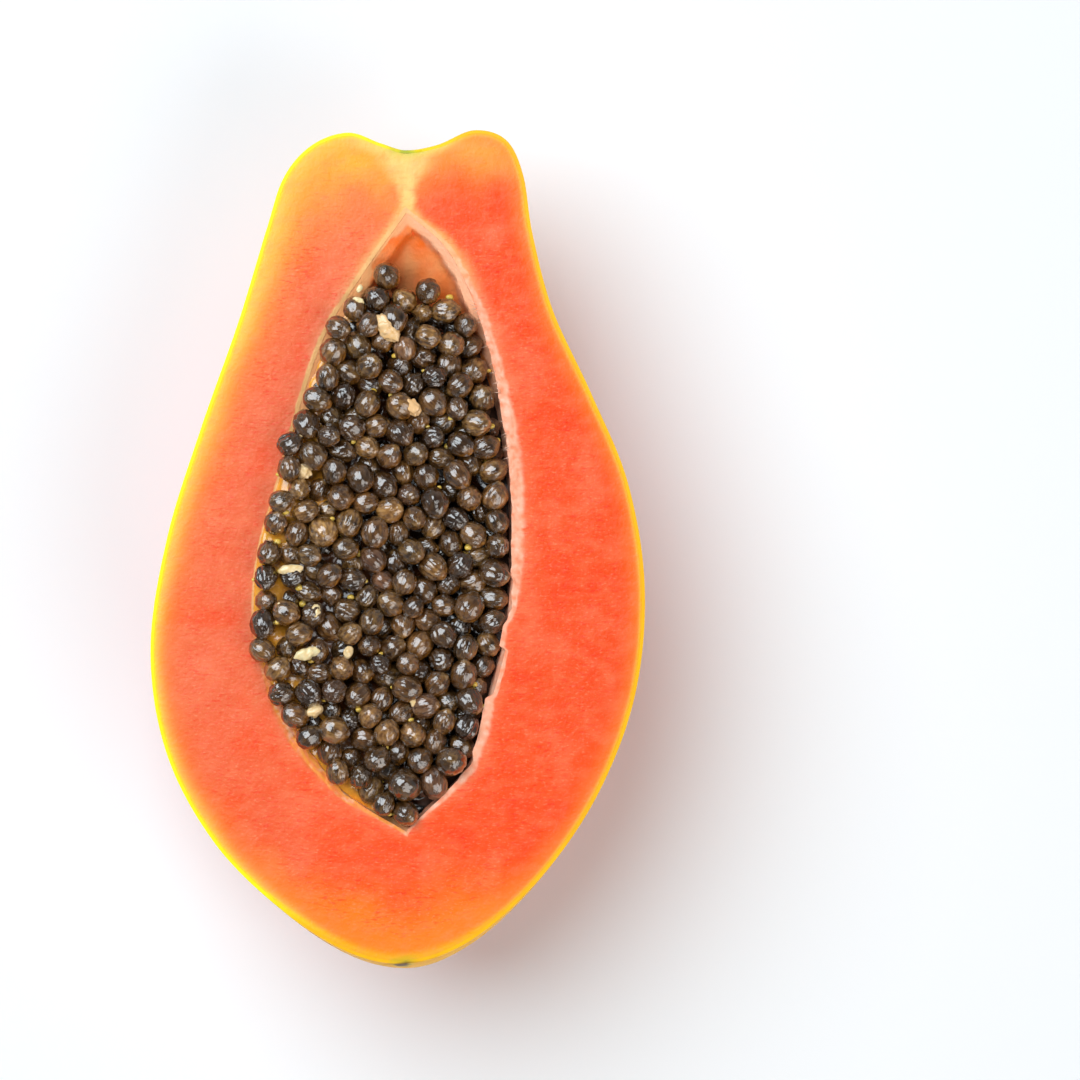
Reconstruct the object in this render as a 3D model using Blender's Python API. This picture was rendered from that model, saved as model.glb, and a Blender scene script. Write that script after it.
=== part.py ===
"""Half a ripe papaya, cut lengthwise, lying on its back with the cut face up.

The long axis runs along Y with the stem end at +Y, and Z is up out of the cut face.
Sizes are in millimetres, measured from the cut face, and become metres in the meshes.
The whole fruit is turned from its two side profiles about an axis that sinks below the
cut towards the blossom end, so the knife misses the tip and leaves a lip of skin there.
The seeds are one heap: a core that fills the cavity, with the seeds that show fused to it.
"""

import math
import random

import bmesh
import bpy
import numpy as np
from mathutils import Euler, Matrix, Vector
from mathutils.kdtree import KDTree

MM = 0.001

# Whole fruit: the cut's height over the ground, the fruit's depth as a share of its
# half width, its long axis, its faint ribs, and the stem end, which is shorter below
CUT_HEIGHT = 57.0
DEPTH_SHARE = 0.935
AXIS_X = 2.0
AXIS_DROP = 9.0
AXIS_DROP_FROM_Y = 10.0
RIB_SHARE = 0.012
RIB_COUNT = 5
SHOULDER_FALL = 7.0
SHOULDER_FALL_FROM_Y = 55.0
DIMPLE_REACH = 9.0
LENGTH_STEPS = 44
ROUND_STEPS = 40

# Side profiles, from the stem's dimple over the shoulder to the blossom tip:
# distance from the long axis, then Y
RIGHT_PROFILE = [
    (0, 100.2), (8, 101.6), (17, 105.2), (25, 102.8), (29.3, 94),
    (31.7, 79), (36.8, 60), (46.5, 39), (55.5, 17), (59.7, -9),
    (57.3, -36), (48, -61), (33.5, -82.5), (16.5, -98.6), (0, -105),
]
LEFT_PROFILE = [
    (0, 100.2), (6.5, 102), (14.5, 104.6), (23.5, 101.5), (30.5, 93.5),
    (35, 80), (42, 57), (51.5, 30), (59.8, 3), (63.9, -25),
    (59.8, -51), (47.8, -73.5), (31, -90.5), (14.5, -101.6), (0, -105),
]

# Seed cavity: its rim on the cut face from the apex to the lower end, X then Y,
# and the depth of its floor at the same stations
CAVITY_RIGHT = [
    (2.1, 84.7), (12.2, 75.5), (19, 62), (24.3, 43.5), (27.4, 24),
    (28.5, 3), (27.2, -18), (22.8, -37), (17.5, -54.5), (2.5, -70.5),
]
CAVITY_LEFT = [
    (2.1, 84.7), (-8, 70.5), (-17.8, 55), (-24, 38), (-29.5, 18.5),
    (-35.2, -2), (-35.2, -23), (-26.5, -42.5), (-14.5, -59.5), (2.5, -70.5),
]
CAVITY_DEPTHS = [0, 6, 13, 20, 25, 27, 26.5, 23, 15, 0]
WALL_POWER_RIGHT = 2.4
WALL_POWER_LEFT = 2.0
CAVITY_LENGTH_STEPS = 24
CAVITY_ROUND_STEPS = 14

# Seeds: their size, how they are strewn level by level, and how they settle. A level has
# the height of its middles over the bed and the least distance to those already there.
SEED_RADIUS = 3.15
SEED_RADIUS_SPREAD = 0.28
SEED_RADIUS_RANGE = (2.55, 3.9)
SEED_STRETCH = 1.13
SEED_SIDES = 5
SEED_RINGS = 4
SEED_LEVELS = [(0.9, 6.0), (-0.9, 4.8), (-3.0, 4.2)]
UNDER_LEVEL = (-6.0, 4.85)
SEED_EDGE = 2.0
SEEDS_TOP_LEFT = 61.5
SEEDS_TOP_RIGHT = 59.0
SEED_DRAWS = 6000
RANDOM_SEED = 7
SEED_UNEVENNESS = 0.5
SEED_MOST_PROUD = 1.7
SETTLE_STEPS = 80
SETTLE_PULL = 0.05
SETTLE_PUSH = 0.42
WALL_GAP = 0.4

# The seeds at both ends of the heap: X, Y, radius
END_SEEDS = [
    (-3.2, 67.8, 3.3), (-4.6, 63.3, 3.1), (6.3, 63.6, 3.2), (11.8, 59.4, 3.2),
    (3.6, -59.6, 4.1), (2.4, -66.2, 3.2),
]

# Height of the top seeds' middles: proud of the cut at the left, sunk below it at the right
BED_LEFT = 2.9
BED_FALL = 6.8
BED_END_FALL = 4.5
BED_WAVE = 0.7

# Core under the seeds that show
CORE_BELOW_SEEDS = 0.9
CORE_WALL_GAP = 0.6
CORE_SHARES = (0.148, 0.965)
CORE_LEVEL_RIGHT = 6.5
CORE_LEVEL_LEFT = 0.6
CORE_EDGE_SLOPE = 1.8
CORE_TOP_LINE = (69.0, -0.6)
CORE_TOP_SLOPE = 0.6
CORE_TOP_SHARES = (0.035, 0.12, 0.32, 0.5, 0.68, 0.88, 0.965)
CORE_ROWS = 20
CORE_ROUND_STEPS = 8

# Pale scraps of seed string among the seeds: X, Y, length, width, turn in degrees
SCRAPS = [
    (-2.6, 55.5, 8.0, 4.6, -50), (-20.5, -15.5, 4.6, 2.8, 85), (-22.5, -25.5, 6.2, 3.0, 15),
    (-26.5, -4.6, 6.0, 2.6, 5), (-28.0, -14.6, 5.0, 3.0, -35), (3.5, 36.0, 5.6, 3.6, -45),
]
SCRAP_RISE = 1.6


def smooth_curve(points, mirrored=False):
    """A function of 0 to 1 that runs through the points as a Catmull-Rom curve.

    mirrored says that both ends meet the curve's own mirror image at X = 0.
    """
    knots = np.array(points, float)
    before, after = 2 * knots[0] - knots[1], 2 * knots[-1] - knots[-2]
    if mirrored:
        before, after = knots[1] * (-1, 1), knots[-2] * (-1, 1)
    padded = np.array([before, *knots, after])

    def at(share):
        place = min(max(share, 0.0), 1.0) * (len(knots) - 1)
        index = min(int(place), len(knots) - 2)
        u = place - index
        a, b, c, d = padded[index : index + 4]
        bend = 2 * a - 5 * b + 4 * c - d
        return (2 * b + (c - a) * u + bend * u**2 + (3 * b - a - 3 * c + d) * u**3) / 2

    return at


right_profile = smooth_curve(RIGHT_PROFILE, mirrored=True)
left_profile = smooth_curve(LEFT_PROFILE, mirrored=True)
cavity_right = smooth_curve(CAVITY_RIGHT)
cavity_left = smooth_curve(CAVITY_LEFT)
cavity_depth = smooth_curve(CAVITY_DEPTHS)
right_rim = np.array([cavity_right(share) for share in np.linspace(1, 0, 160)])
left_rim = np.array([cavity_left(share) for share in np.linspace(1, 0, 160)])


def rim_at(y):
    """The cavity rim's left and right X at this Y."""
    return tuple(np.interp(y, rim[:, 1], rim[:, 0]) for rim in (left_rim, right_rim))


def even_shares(first, second, count):
    """Shares from 0 to 1 at even steps along the mean of two curves."""
    fine = np.linspace(0, 1, 1200)
    middle = np.array([(first(share) + second(share)) / 2 for share in fine])
    run = np.cumsum(np.linalg.norm(np.diff(middle, axis=0, prepend=middle[:1]), axis=1))
    return np.interp(np.linspace(0, run[-1], count + 1), run, fine)


def axis_height(y):
    """Height of the fruit's long axis over the cut face, which is 0 or less."""
    blossom_y = RIGHT_PROFILE[-1][1]
    share = (AXIS_DROP_FROM_Y - y) / (AXIS_DROP_FROM_Y - blossom_y)
    return -AXIS_DROP * max(share, 0.0) ** 2


def shoulder_fall(y):
    """How much lower the stem end's shoulder is under the fruit than at its sides."""
    share = (y - SHOULDER_FALL_FROM_Y) / (RIGHT_PROFILE[0][1] - SHOULDER_FALL_FROM_Y)
    share = min(max(share, 0.0), 1.0)
    return SHOULDER_FALL * share**2 * (3 - 2 * share)


def fruit_ring(share):
    """Points right round the fruit at one station, from the right side downwards."""
    (reach_right, y_right), (reach_left, y_left) = right_profile(share), left_profile(share)
    ring = []
    for angle in np.linspace(0, 2 * math.pi, ROUND_STEPS, endpoint=False):
        side = (1 - math.cos(angle)) / 2
        below = max(math.sin(angle), 0)
        reach = reach_right + (reach_left - reach_right) * side
        fall = shoulder_fall(y_right) * min(reach / DIMPLE_REACH, 1) * below**1.5
        y = y_right + (y_left - y_right) * side - fall
        depth = DEPTH_SHARE * (reach_right + reach_left) / 2
        rib = 1 + RIB_SHARE * below * math.sin(RIB_COUNT * angle)
        x = AXIS_X + reach * rib * math.cos(angle)
        ring.append((x, y, axis_height(y) - depth * rib * math.sin(angle)))
    return ring


def cavity_point(share, angle, inset=0.0):
    """A point on the cavity's wall: angle 0 is the right rim and pi the left rim."""
    (x_right, y_right), (x_left, y_left) = cavity_right(share), cavity_left(share)
    across, down = math.cos(angle), max(math.sin(angle), 0.0)
    power = 2 / (WALL_POWER_RIGHT if across > 0 else WALL_POWER_LEFT)
    half = max((x_right - x_left) / 2 - inset, 0.0)
    depth = max(cavity_depth(share) - inset, 0.0)
    x = (x_right + x_left) / 2 + half * math.copysign(abs(across) ** power, across)
    y = y_right + (y_left - y_right) * (1 - across) / 2
    return np.array([x, y, -depth * down**power])


def skin_over(skin, rows, closed):
    """Adds quads over rows of points in millimetres, and merges doubled points."""
    grid = [[skin.verts.new(Vector(point) * MM) for point in row] for row in rows]
    count = len(rows[0])
    for upper, lower in zip(grid, grid[1:]):
        for i in range(count if closed else count - 1):
            j = (i + 1) % count
            skin.faces.new((upper[i], upper[j], lower[j], lower[i]))
    bmesh.ops.remove_doubles(skin, verts=skin.verts, dist=0.02 * MM)


def open_edges(skin):
    return [edge for edge in skin.edges if edge.is_boundary]


def slice_off(skin, height, direction):
    """Cuts away what lies beyond this height, up (1) or down (-1), and leaves the cut open."""
    bmesh.ops.bisect_plane(
        skin,
        geom=[*skin.verts, *skin.edges, *skin.faces],
        dist=0.001 * MM,
        plane_co=(0, 0, height * MM),
        plane_no=(0, 0, direction),
        clear_outer=True,
    )


def add_object(name, skin, material=None):
    mesh = bpy.data.meshes.new(name)
    skin.to_mesh(mesh)
    skin.free()
    if material:
        mesh.materials.append(material)
    made = bpy.data.objects.new(name, mesh)
    bpy.context.scene.collection.objects.link(made)
    return made


def surface(name, colour, roughness):
    material = bpy.data.materials.new(name)
    material.use_nodes = True
    shader = material.node_tree.nodes["Principled BSDF"]
    shader.inputs["Base Color"].default_value = (*colour, 1)
    shader.inputs["Roughness"].default_value = roughness
    return material


def apply_modifiers(made):
    bpy.context.view_layer.objects.active = made
    for modifier in list(made.modifiers):
        bpy.ops.object.modifier_apply(modifier=modifier.name)


def make_flesh():
    """The flesh with its skin: the turned fruit, cut in half, flat where it rests, hollowed."""
    skin = bmesh.new()
    shares = even_shares(right_profile, left_profile, LENGTH_STEPS)
    skin_over(skin, [fruit_ring(share) for share in shares], closed=True)
    slice_off(skin, -CUT_HEIGHT, -1)
    bmesh.ops.holes_fill(skin, edges=open_edges(skin))
    slice_off(skin, 0, 1)
    angles = np.linspace(0, math.pi, CAVITY_ROUND_STEPS + 1)
    shares = even_shares(cavity_right, cavity_left, CAVITY_LENGTH_STEPS)
    wall = [[cavity_point(share, angle) for angle in angles] for share in shares]
    skin_over(skin, wall, closed=False)
    bmesh.ops.triangle_fill(skin, use_beauty=True, edges=open_edges(skin), normal=(0, 0, 1))
    bmesh.ops.recalc_face_normals(skin, faces=skin.faces)
    flesh = add_object("papaya_flesh", skin, surface("papaya_flesh", (0.95, 0.18, 0.05), 0.45))
    flesh.data.shade_smooth()
    flesh.data.set_sharp_from_angle(angle=math.radians(50))
    return flesh


def bed_height(x, y):
    """Height of the middles of the top seeds over the cut face."""
    left, right = rim_at(y)
    across = np.clip((x - left) / max(right - left, 1.0), 0, 1)
    apex, end = CAVITY_LEFT[0][1], CAVITY_LEFT[-1][1]
    to_end = min(abs(apex - y), abs(y - end)) / (apex - end) * 2
    middle = min(to_end * 2.2, 1.0)
    wave = math.sin(0.31 * x + 1) * math.cos(0.19 * y) + math.sin(0.37 * y + 0.11 * x) / 2
    fall = BED_FALL * middle * across**1.3 + BED_END_FALL * (1 - middle) ** 1.5
    return BED_LEFT - fall + BED_WAVE * wave


def random_spots(draw, taken, spacing):
    """Random spots over the cavity's mouth, none too close to each other or to those taken."""
    low, high = left_rim.min(axis=0), right_rim.max(axis=0)
    laid = list(taken)
    for _ in range(SEED_DRAWS):
        x, y = draw.uniform(low[0], high[0]), draw.uniform(low[1], high[1])
        left, right = rim_at(y)
        inside = left + SEED_EDGE < x < right - SEED_EDGE
        below_top = y < (SEEDS_TOP_LEFT if x < AXIS_X else SEEDS_TOP_RIGHT)
        if inside and below_top and all(math.dist((x, y), spot) > spacing for spot in laid):
            laid.append((x, y))
    return laid[len(taken) :]


def strewn(draw, level, taken):
    """A level of seeds as rows of X, Y, Z, radius and the level's height."""
    height, spacing = level
    rows = []
    for x, y in random_spots(draw, taken, spacing):
        z = bed_height(x, y) + height + draw.gauss(0, SEED_UNEVENNESS)
        radius = draw.gauss(SEED_RADIUS, SEED_RADIUS_SPREAD)
        rows.append((x, y, z, np.clip(radius, *SEED_RADIUS_RANGE), height))
    return rows


def scatter_seeds():
    """First places for the seeds, from the highest level to the one under them all."""
    draw = random.Random(RANDOM_SEED)
    seeds = [(x, y, bed_height(x, y), radius, 0.0) for x, y, radius in END_SEEDS]
    for level in SEED_LEVELS:
        seeds += strewn(draw, level, [(seed[0], seed[1]) for seed in seeds])
    return np.array(seeds + strewn(draw, UNDER_LEVEL, []))


def wall_tree():
    """The points that seeds keep clear of: the cavity's wall and the cut face round its rim."""
    points = []
    for share in even_shares(cavity_right, cavity_left, 110):
        points += [cavity_point(share, angle) for angle in np.linspace(0, math.pi, 49)]
        for angle, out in ((0, 1), (math.pi, -1)):
            rim = cavity_point(share, angle)
            points += [rim + (out * step, 0, 0) for step in (1.2, 2.4, 3.6, 4.8)]
    tree = KDTree(len(points))
    for index, point in enumerate(points):
        tree.insert(point, index)
    tree.balance()
    return tree


def settle_seeds():
    """The seeds' middles, radii and levels, once they are pushed apart and off the wall."""
    seeds = scatter_seeds()
    places, radii = seeds[:, :3].copy(), seeds[:, 3]
    wanted = places[:, 2].copy()
    reach = radii[:, None] + radii[None]
    tree = wall_tree()
    for _ in range(SETTLE_STEPS):
        places[:, 2] += (wanted - places[:, 2]) * SETTLE_PULL
        gap = places[:, None] - places[None]
        distance = np.linalg.norm(gap, axis=2) + np.eye(len(places)) * 1000
        push = np.maximum(reach - distance, 0) * SETTLE_PUSH / distance
        places += (gap * push[..., None]).sum(axis=1)
        for place, radius in zip(places, radii):
            place[2] = min(place[2], bed_height(place[0], place[1]) + SEED_MOST_PROUD)
            wall, _, distance = tree.find(place)
            need = radius * SEED_STRETCH + WALL_GAP
            if distance < need:
                place += (place - np.array(wall)) * (need / max(distance, 0.01) - 1)
    return places, radii, seeds[:, 4]


def egg(middle, size, turn):
    """A low egg of flat faces: its half sizes in millimetres and its turn as Euler angles."""
    skin = bmesh.new()
    bmesh.ops.create_uvsphere(skin, u_segments=SEED_SIDES, v_segments=SEED_RINGS, radius=1)
    spread = Matrix.Diagonal(Vector(size) * MM).to_4x4()
    place = Matrix.Translation(Vector(middle) * MM) @ Euler(turn).to_matrix().to_4x4()
    bmesh.ops.transform(skin, matrix=place @ spread, verts=skin.verts)
    return skin


def wall_angle(drop, share, power):
    """The section's angle at which the wall has come down by this much."""
    return math.asin((drop / (cavity_depth(share) - CORE_WALL_GAP)) ** (power / 2))


def core_row(share):
    """One ring of the core: along the wall from right to left, then back over the top."""
    depth = cavity_depth(share) - CORE_WALL_GAP
    start = wall_angle(min(CORE_LEVEL_RIGHT, depth / 2), share, WALL_POWER_RIGHT)
    stop = math.pi - wall_angle(min(CORE_LEVEL_LEFT, depth / 3), share, WALL_POWER_LEFT)
    angles = np.linspace(start, stop, CORE_ROUND_STEPS + 1)
    under = [cavity_point(share, angle, CORE_WALL_GAP) for angle in angles]
    right, left = under[0], under[-1]
    over = []
    for across in CORE_TOP_SHARES:
        place = left + (right - left) * across
        from_edge = min(place[0] - left[0], right[0] - place[0])
        past_seeds = max(place[1] - CORE_TOP_LINE[0] - CORE_TOP_LINE[1] * place[0], 0)
        bed = bed_height(place[0], place[1]) - CORE_BELOW_SEEDS - CORE_TOP_SLOPE * past_seeds
        place[2] = min(bed, place[2] + CORE_EDGE_SLOPE * from_edge)
        over.append(place)
    return [*under, *over]


def make_core(material):
    skin = bmesh.new()
    rows = [core_row(share) for share in np.linspace(*CORE_SHARES, CORE_ROWS)]
    skin_over(skin, rows, closed=True)
    bmesh.ops.holes_fill(skin, edges=open_edges(skin))
    bmesh.ops.recalc_face_normals(skin, faces=skin.faces)
    return add_object("seed_heap", skin, material)


def seed_skins():
    """The top seeds and the pale scraps that lie among them, each a mesh of its own."""
    draw = random.Random(RANDOM_SEED + 1)
    for place, radius, level in zip(*settle_seeds()):
        turn = [draw.uniform(0, math.pi) for _ in range(3)]
        if level > UNDER_LEVEL[0]:
            yield egg(place, (radius, radius, radius * SEED_STRETCH), turn)
    for x, y, length, width, turn in SCRAPS:
        middle = (x, y, bed_height(x, y) + SCRAP_RISE)
        yield egg(middle, (length / 2, width / 2, width / 2.4), (0.2, 0.1, math.radians(turn)))


def make_seeds():
    """The heap: its core and the seeds that show, fused by one union."""
    heap = make_core(surface("seed_heap", (0.035, 0.025, 0.018), 0.25))
    pieces = bpy.data.collections.new("seed_pieces")
    for number, skin in enumerate(seed_skins()):
        piece = add_object(f"seed_{number}", skin)
        bpy.context.scene.collection.objects.unlink(piece)
        pieces.objects.link(piece)
    fuse = heap.modifiers.new("Fuse", "BOOLEAN")
    fuse.operation = "UNION"
    fuse.operand_type = "COLLECTION"
    fuse.collection = pieces
    fuse.solver = "MANIFOLD"
    apply_modifiers(heap)
    for piece in list(pieces.objects):
        bpy.data.objects.remove(piece)
    bpy.data.collections.remove(pieces)
    keep_main_body(heap)
    heap.data.shade_flat()
    return heap


def islands_of(skin):
    """The groups of joined vertices, smallest first."""
    islands, seen = [], set()
    for first in skin.verts:
        if first in seen:
            continue
        seen.add(first)
        island, waiting = [first], [first]
        while waiting:
            corners = {corner for edge in waiting.pop().link_edges for corner in edge.verts}
            fresh = [corner for corner in corners if corner not in seen]
            seen.update(fresh)
            island += fresh
            waiting += fresh
        islands.append(island)
    return sorted(islands, key=len)


def keep_main_body(made):
    """Drops loose scraps and fills sealed hollows, which are all islands of their own."""
    skin = bmesh.new()
    skin.from_mesh(made.data)
    for island in islands_of(skin)[:-1]:
        bmesh.ops.delete(skin, geom=island, context="VERTS")
    skin.to_mesh(made.data)
    skin.free()


def main():
    for old in list(bpy.data.objects):
        bpy.data.objects.remove(old)
    for made in (make_flesh(), make_seeds()):
        made.location.z = CUT_HEIGHT * MM


main()
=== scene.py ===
"""A ripe papaya half with its wet seeds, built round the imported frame.

Points are made in millimetres from the cut face, which faces up, with the fruit's long
axis along Y and the stem end at +Y. They become metres over the ground in the meshes.
"""

import math
import random

import bmesh
import bpy
import numpy as np
from mathutils import Euler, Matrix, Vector
from mathutils.kdtree import KDTree


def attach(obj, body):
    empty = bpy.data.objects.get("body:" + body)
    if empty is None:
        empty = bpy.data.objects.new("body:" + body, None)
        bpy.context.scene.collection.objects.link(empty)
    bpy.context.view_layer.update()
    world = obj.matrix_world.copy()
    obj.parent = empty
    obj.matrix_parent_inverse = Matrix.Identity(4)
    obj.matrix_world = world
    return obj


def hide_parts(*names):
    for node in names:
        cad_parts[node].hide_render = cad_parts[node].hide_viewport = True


MM = 0.001
# Slot and node of the two parts
FLESH = ("flesh", "papaya_flesh")
SEEDS = ("seeds", "seed_heap")
CUT_HEIGHT = 57.0

# The photograph: the pixel that lies on X = 0 and Y = 0, and the size of a pixel
PHOTO_SIZE = 1080
PHOTO_ORIGIN = (398, 551)
PIXEL_MM = 0.25
CAMERA_DISTANCE = 1200.0
SENSOR_MM = 36.0

# The fruit's form, as in the part's source
DEPTH_SHARE = 0.935
AXIS_X = 2.0
AXIS_DROP = 9.0
AXIS_DROP_FROM_Y = 10.0
RIB_SHARE = 0.012
RIB_COUNT = 5
SHOULDER_FALL = 7.0
SHOULDER_FALL_FROM_Y = 55.0
DIMPLE_REACH = 9.0
RIGHT_PROFILE = [
    (0, 100.2), (8, 101.6), (17, 105.2), (25, 102.8), (29.3, 94),
    (31.7, 79), (36.8, 60), (46.5, 39), (55.5, 17), (59.7, -9),
    (57.3, -36), (48, -61), (33.5, -82.5), (16.5, -98.6), (0, -105),
]
LEFT_PROFILE = [
    (0, 100.2), (6.5, 102), (14.5, 104.6), (23.5, 101.5), (30.5, 93.5),
    (35, 80), (42, 57), (51.5, 30), (59.8, 3), (63.9, -25),
    (59.8, -51), (47.8, -73.5), (31, -90.5), (14.5, -101.6), (0, -105),
]
CAVITY_RIGHT = [
    (2.1, 84.7), (12.2, 75.5), (19, 62), (24.3, 43.5), (27.4, 24),
    (28.5, 3), (27.2, -18), (22.8, -37), (17.5, -54.5), (2.5, -70.5),
]
CAVITY_LEFT = [
    (2.1, 84.7), (-8, 70.5), (-17.8, 55), (-24, 38), (-29.5, 18.5),
    (-35.2, -2), (-35.2, -23), (-26.5, -42.5), (-14.5, -59.5), (2.5, -70.5),
]
CAVITY_DEPTHS = [0, 6, 13, 20, 25, 27, 26.5, 23, 15, 0]
WALL_POWER_RIGHT = 2.4
WALL_POWER_LEFT = 2.0

# The seeds' places, as in the part's source. A level has the height of its middles over
# the bed and the least distance to those already there.
SEED_RADIUS = 3.15
SEED_RADIUS_SPREAD = 0.28
SEED_RADIUS_RANGE = (2.55, 3.9)
SEED_STRETCH = 1.13
SEED_LEVELS = [(0.9, 6.0), (-0.9, 4.8), (-3.0, 4.2)]
UNDER_LEVEL = (-6.0, 4.85)
SEED_EDGE = 2.0
SEEDS_TOP_LEFT = 61.5
SEEDS_TOP_RIGHT = 59.0
SEED_DRAWS = 6000
RANDOM_SEED = 7
SEED_UNEVENNESS = 0.5
SEED_MOST_PROUD = 1.7
SETTLE_STEPS = 80
SETTLE_PULL = 0.05
SETTLE_PUSH = 0.42
WALL_GAP = 0.4
WALL_STATIONS = 110
WALL_SPOTS = 49
RIM_OFFSETS = (1.2, 2.4, 3.6, 4.8)
END_SEEDS = [
    (-3.2, 67.8, 3.3), (-4.6, 63.3, 3.1), (6.3, 63.6, 3.2), (11.8, 59.4, 3.2),
    (3.6, -59.6, 4.1), (2.4, -66.2, 3.2),
]
BED_LEFT = 2.9
BED_FALL = 6.8
BED_END_FALL = 4.5
BED_WAVE = 0.7

# Mesh steps
CURVE_STEPS = 1200
RIM_STEPS = 160
SOLVE_ROUNDS = 30
SIDE_STEPS = 390
TIP_STEPS = 12
FACE_STEPS = 66
WALL_STEPS = 66
UNDER_STEPS = 22
SKIN_STEPS = 64
SKIN_THICKNESS = 0.8
SKIN_GAP = 0.01
SHARP_CORNER = math.radians(50)
END_SHARE = 0.004
MERGE_GAP = 0.004
FLAT_SOFTNESS = 0.5
FLAT_REACH = 12
FACE_SHEET, WALL_SHEET, UNDER_SHEET = range(3)

# Part of the bake's square that the map fills, and its empty edge
MAP_SPAN = 0.985
MAP_EDGE = 0.005

# Relief of the cut face and the ragged rim of the cavity
RELIEF_WAVE = 0.16
RELIEF_GRAIN = 0.07
RIM_RAGGED = 0.34
RIM_RAGGED_REACH = 1.6
RIM_ROUND = 0.5
BAND_SUNK = 0.3
BAND_RAGGED = 0.3
LEDGE_SLOPE = 0.34
NOTCH_DEPTH = 1.7
NOTCH_SIZE = 5.5
NOTCH_REACH = 2.0

# Width of the torn lining that shows round the cavity's rim: Y, then width, upwards
BAND_RIGHT = [
    (-66, 0.7), (-52, 2.0), (-40, 2.0), (-29, 1.2), (-20, 0.9),
    (-4, 2.9), (15, 3.5), (30, 3.2), (52, 2.3), (62, 1.9), (84, 0.9),
]
BAND_LEFT = [
    (-68, 0.9), (-58, 2.2), (-48, 3.2), (-38, 2.6), (-28, 0.7),
    (0, 0.4), (30, 0.9), (60, 1.2), (84, 1.1),
]


def srgb(red, green, blue):
    """A colour of 0 to 255 as linear numbers."""
    shares = np.array([red, green, blue]) / 255
    return np.where(shares <= 0.04045, shares / 12.92, ((shares + 0.055) / 1.055) ** 2.4)


# Colours of the flesh, the lining and the cavity's wall
YELLOW_EDGE = srgb(255, 206, 96)
ORANGE_EDGE = srgb(255, 142, 70)
UNDER_SKIN = srgb(255, 226, 40)
UNDER_SKIN_RIGHT = srgb(254, 178, 40)
UNDER_LIP = srgb(255, 178, 16)
CORAL_LEFT = srgb(244, 111, 82)
CORAL_RIGHT = srgb(250, 90, 62)
RED_LOW = srgb(255, 90, 60)
ORANGE_TIP = srgb(255, 138, 58)
YELLOW_LOBE = srgb(252, 180, 84)
ORANGE_LOBE = srgb(250, 158, 84)
GOLD_TOP = srgb(255, 200, 78)
ORANGE_TOP = srgb(255, 170, 84)
CORE_PALE = srgb(255, 216, 134)
CORE_GREEN = srgb(206, 212, 70)
LINING_PINK = srgb(255, 182, 152)
LINING_LIGHT = srgb(255, 210, 186)
LINING_ROSE = srgb(250, 146, 112)
LINING_CREAM = srgb(255, 198, 136)
LINING_AMBER = srgb(252, 168, 84)
LINING_ORANGE = srgb(252, 142, 90)
WALL_ORANGE = srgb(242, 124, 70)
WALL_LIGHT = srgb(252, 160, 100)
POCKET_ORANGE = srgb(255, 120, 64)
POCKET_PEACH = srgb(255, 162, 108)
POCKET_LINING = srgb(255, 188, 152)
POCKET_CREAM = srgb(255, 180, 124)
RIM_PEACH = srgb(255, 172, 128)
MOTTLE_RED = srgb(252, 72, 44)
MOTTLE_PINK = srgb(255, 132, 100)
CLOUD_ORANGE = srgb(255, 142, 92)
GRAIN_PEACH = srgb(255, 168, 120)
FLECK_SHADE = (1.0, 0.5, 0.4)

# The pale sheen of the wet flesh, taken off its tints
WET_SHEEN = np.array([0.0, 0.026, 0.042])
LEAST_TINT = 0.004

# Colours of the skin, and the places of its scars
SKIN_YELLOW = srgb(255, 246, 0)
SKIN_AMBER = srgb(255, 190, 8)
LIP_GOLD = srgb(255, 188, 0)
SKIN_GOLD = srgb(248, 178, 52)
SKIN_ORANGE = srgb(243, 128, 44)
SKIN_RED = srgb(232, 76, 30)
SKIN_GREEN = srgb(178, 186, 46)
SCAR_BROWN = srgb(104, 74, 30)
STREAK_SHADE = (0.94, 0.8, 0.55)
STEM_END = (2.0, 100.0, -4.0)
BLOSSOM_SCAR = (0.9, -103.2, -0.8)


def blend(first, second, share):
    """A mix of two colours or rows of them."""
    share = np.clip(share, 0, 1)[..., None]
    return first + (second - first) * share


def ramp(low, high, value):
    """0 below low, 1 above high, smooth between; low may be the larger."""
    share = np.clip((value - low) / (high - low), 0, 1)
    return share * share * (3 - 2 * share)


def painted(colour, *layers):
    """The colour with each layer of (colour, share) laid over it in turn."""
    for over, share in layers:
        colour = blend(colour, over, share)
    return colour


def fading(distance, reach, power=2):
    """1 at no distance, a third at the reach, soon 0."""
    return np.exp(-((distance / reach) ** power))


def hashed(cells, seed):
    """A random-looking number from -1 to 1 for each row of whole numbers."""
    mixed = cells @ np.array([73856093, 19349663, 83492791]) + seed * 7919 + 1013
    mixed = ((mixed ^ (mixed >> 13)) * 1274126177) & 0x7FFFFFFF
    mixed = ((mixed ^ (mixed >> 15)) * 668265263) & 0x7FFFFFFF
    mixed = (mixed ^ (mixed >> 13)) & 0xFFFFFF
    return mixed / 0x7FFFFF - 1


def ripple(points, size, seed=0):
    """Smooth noise from -1 to 1 with features of this size."""
    place = np.asarray(points, float) / size
    cell = np.floor(place).astype(np.int64)
    part = place - cell
    part = part * part * (3 - 2 * part)
    total = 0
    for corner in np.ndindex(2, 2, 2):
        weight = np.where(corner, part, 1 - part).prod(axis=-1)
        total = total + weight * hashed(cell + corner, seed)
    return total


def ripples(points, size, finer, seed):
    """Smooth noise with half as much of a finer one over it."""
    return ripple(points, size, seed) + ripple(points, finer, seed + 1) / 2


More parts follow.
